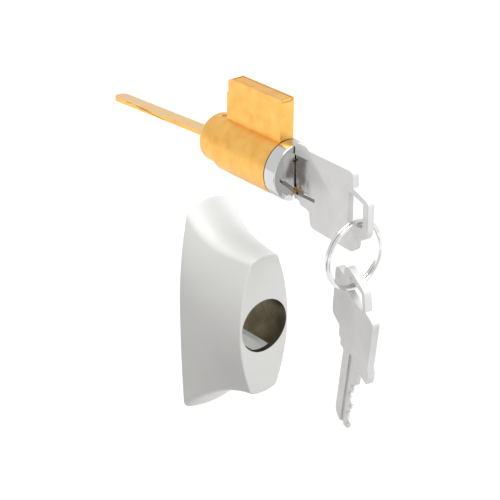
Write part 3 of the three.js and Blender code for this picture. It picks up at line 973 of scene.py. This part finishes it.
def key_outline():
    """The key's outline as (y, z): shoulders at y = 0, blade along +Y, bow along -Y."""
    points = [(-0.3, BLADE_TOP), (-0.3, 8.2)]

    def line(*ends):
        points.extend(ends)

    def bend(through, end):
        points.extend(curve(points[-1], through, end))

    bend((-0.3, 9), (-1.2, 9))
    line((-4.4, 9.1), (-5.9, 8.2), (-21.2, 7.9))
    bend((-22.7, 7.8), (-22.8, 6.3))
    line((-22.9, 3.5), (-27.2, 1.9))
    bend((-28.6, 1.3), (-28.7, 0.1))
    line((-28.8, -6.4))
    bend((-28.6, -9.3), (-26.4, -9.7))
    bend((-25, -10), (-24.3, -9))
    line((-24.4, -12))
    bend((-24.2, -14.2), (-22.2, -14.2))
    line((-8.6, -13.3))
    bend((-6.8, -13.1), (-6.6, -11.6))
    line((-6.3, -9), (-5.4, -8.5), (-2.8, -8.2), (-2.2, -7), (-0.3, -7), (-0.3, BLADE_BOTTOM))
    line((BLADE_LENGTH - 3, BLADE_BOTTOM))
    bend((BLADE_LENGTH, BLADE_BOTTOM + 0.6), (BLADE_LENGTH, -1.6))
    line((BLADE_LENGTH - 0.8, 1.2))
    for i in reversed(range(CHAMBERS)):
        y, z = CHAMBER_DEPTHS[i], CUT_HEIGHTS[i]
        if i == CHAMBERS - 1:
            line((y + CUT_HALF_FLAT + 0.9, z + 0.9))
        else:
            after = CUT_HEIGHTS[i + 1]
            peak = (z + after) / 2 + (CHAMBER_PITCH / 2 - CUT_HALF_FLAT) * CUT_SLOPE
            ridge = y + CHAMBER_PITCH / 2 + (after - z) / (2 * CUT_SLOPE)
            line((ridge, min(peak, BLADE_TOP)))
        line((y + CUT_HALF_FLAT, z), (y - CUT_HALF_FLAT, z))
    reach = (BLADE_TOP - CUT_HEIGHTS[0]) / CUT_SLOPE
    line((CHAMBER_DEPTHS[0] - CUT_HALF_FLAT - reach, BLADE_TOP))
    return points


def make_key(name, node, body, place):
    half = KEY_THICKNESS / 2
    key = plate(name, key_outline(), -half, half)
    tip = BLADE_LENGTH + PAST
    start, flat, full = RECESS_RUN_OUT
    sunk = -half + RECESS_DEPTH
    recess = [(-half - PAST, start), (-half, flat), (sunk, full), (sunk, tip), (-half - PAST, tip)]
    milled = rings_to_object("milled", [[(x, y, z) for x, y in recess] for z in RECESS_EDGES])
    depth, start, low, high = GROOVE
    groove = block((-half - PAST, start, low), (-half + depth, tip, high))
    depth, start, low, high = FAR_GROOVE
    far_groove = block((half - depth, start, low), (half + PAST, tip, high))
    cut(key, plate("slot", KEY_SLOT, -2, 2), milled, groove, far_groove)

    # The milled, recessed faces take the darker nickel, whose colour is partly painted shade
    def recess_with_painted_shade(centre, normal):
        below_flat = -half + 0.05 < centre.x < 0
        return 1 if below_flat and centre.y > -9 and centre.z < 6 else 0

    dress(
        key,
        place,
        body,
        [node],
        [looks["nickel"], looks["nickel_with_painted_shade"]],
        edge=0.16,
        choose=recess_with_painted_shade,
    )


# ---------------------------------------------------------------- split ring


def make_ring():
    """Two turns side by side. The wire crosses from one turn to the other where its ends lie."""
    free = math.radians(RING_FREE_ANGLE)
    rings = []
    for i in range(RING_STEPS + 1):
        angle = free + (4 * math.pi - 2 * free) * i / RING_STEPS
        share = min(1, max(0, (angle - 2 * math.pi + free) / (2 * free)))
        y = (RING_WIRE_AXIAL + RING_TURN_GAP) * (share * share * (3 - 2 * share) - 0.5)
        end = min(i, RING_STEPS - i) * RING_TIP_RATE
        taper = min(1, math.sqrt(max(RING_TIP_LEAST, 1 - (1 - min(1, end)) ** 2)))
        section = []
        for k in range(RING_WIRE_SIDES):
            around = 2 * math.pi * k / RING_WIRE_SIDES
            radius = RING_RADIUS + taper * RING_WIRE_RADIAL / 2 * math.cos(around)
            across = y + taper * RING_WIRE_AXIAL / 2 * math.sin(around)
            section.append((radius * math.cos(angle), across, radius * math.sin(angle)))
        rings.append(section)
    ring = rings_to_object("wire_ring", rings)
    dress(
        ring, ring_place, "key_ring", ["split_ring"], [looks["wire"]], edge=0, angle=60
    )


# ---------------------------------------------------------------- parts kept from the CAD model


def dress_kept_nodes():
    """Pins, springs and screws keep their CAD solids, with their own materials."""
    kept = {"cap_screw_left": "steel", "cap_screw_right": "steel", "tail_pin": "pin_brass"}
    for i in range(1, CHAMBERS + 1):
        kept[f"key_pin_{i}"] = "pin_brass"
        kept[f"driver_pin_{i}"] = "pin_brass"
        kept[f"pin_spring_{i}"] = "steel"
    for name, look in kept.items():
        node = frame["nodes"][name]
        node.data.materials.clear()
        node.data.materials.append(looks[look])


def spare_the_housing():
    """The gilded pieces hang close above the painted housing, and neither shade nor tint it."""
    for name in ("gilded_shell", "chamber_strip", "gilded_rear_cap", "tail_bar"):
        piece = bpy.data.objects[name]
        piece.visible_diffuse = False
        piece.visible_shadow = False


# ---------------------------------------------------------------- the set

looks = {
    "paint": paint(),
    "bore_metal": bore_metal(),
    "brass": brass(),
    "blade": blade(),
    "chrome": chrome(),
    "pin_brass": pin_brass(),
    "steel": steel(),
    "nickel": nickel(),
    "nickel_with_painted_shade": nickel_with_painted_shade(),
    "wire": wire(),
    "floor": floor_look(),
    "card": card_look(),
}

make_camera()
make_light()
make_floor()
make_cards()
make_housing()
make_shell()
make_cover()
make_plug()
make_cap()
make_tailpiece()
make_key("cut_key", "working_key", "key_in_lock", cylinder_place)
make_key("hanging_cut_key", "spare_key", "hanging_key", spare_place)
make_ring()
dress_kept_nodes()
spare_the_housing()
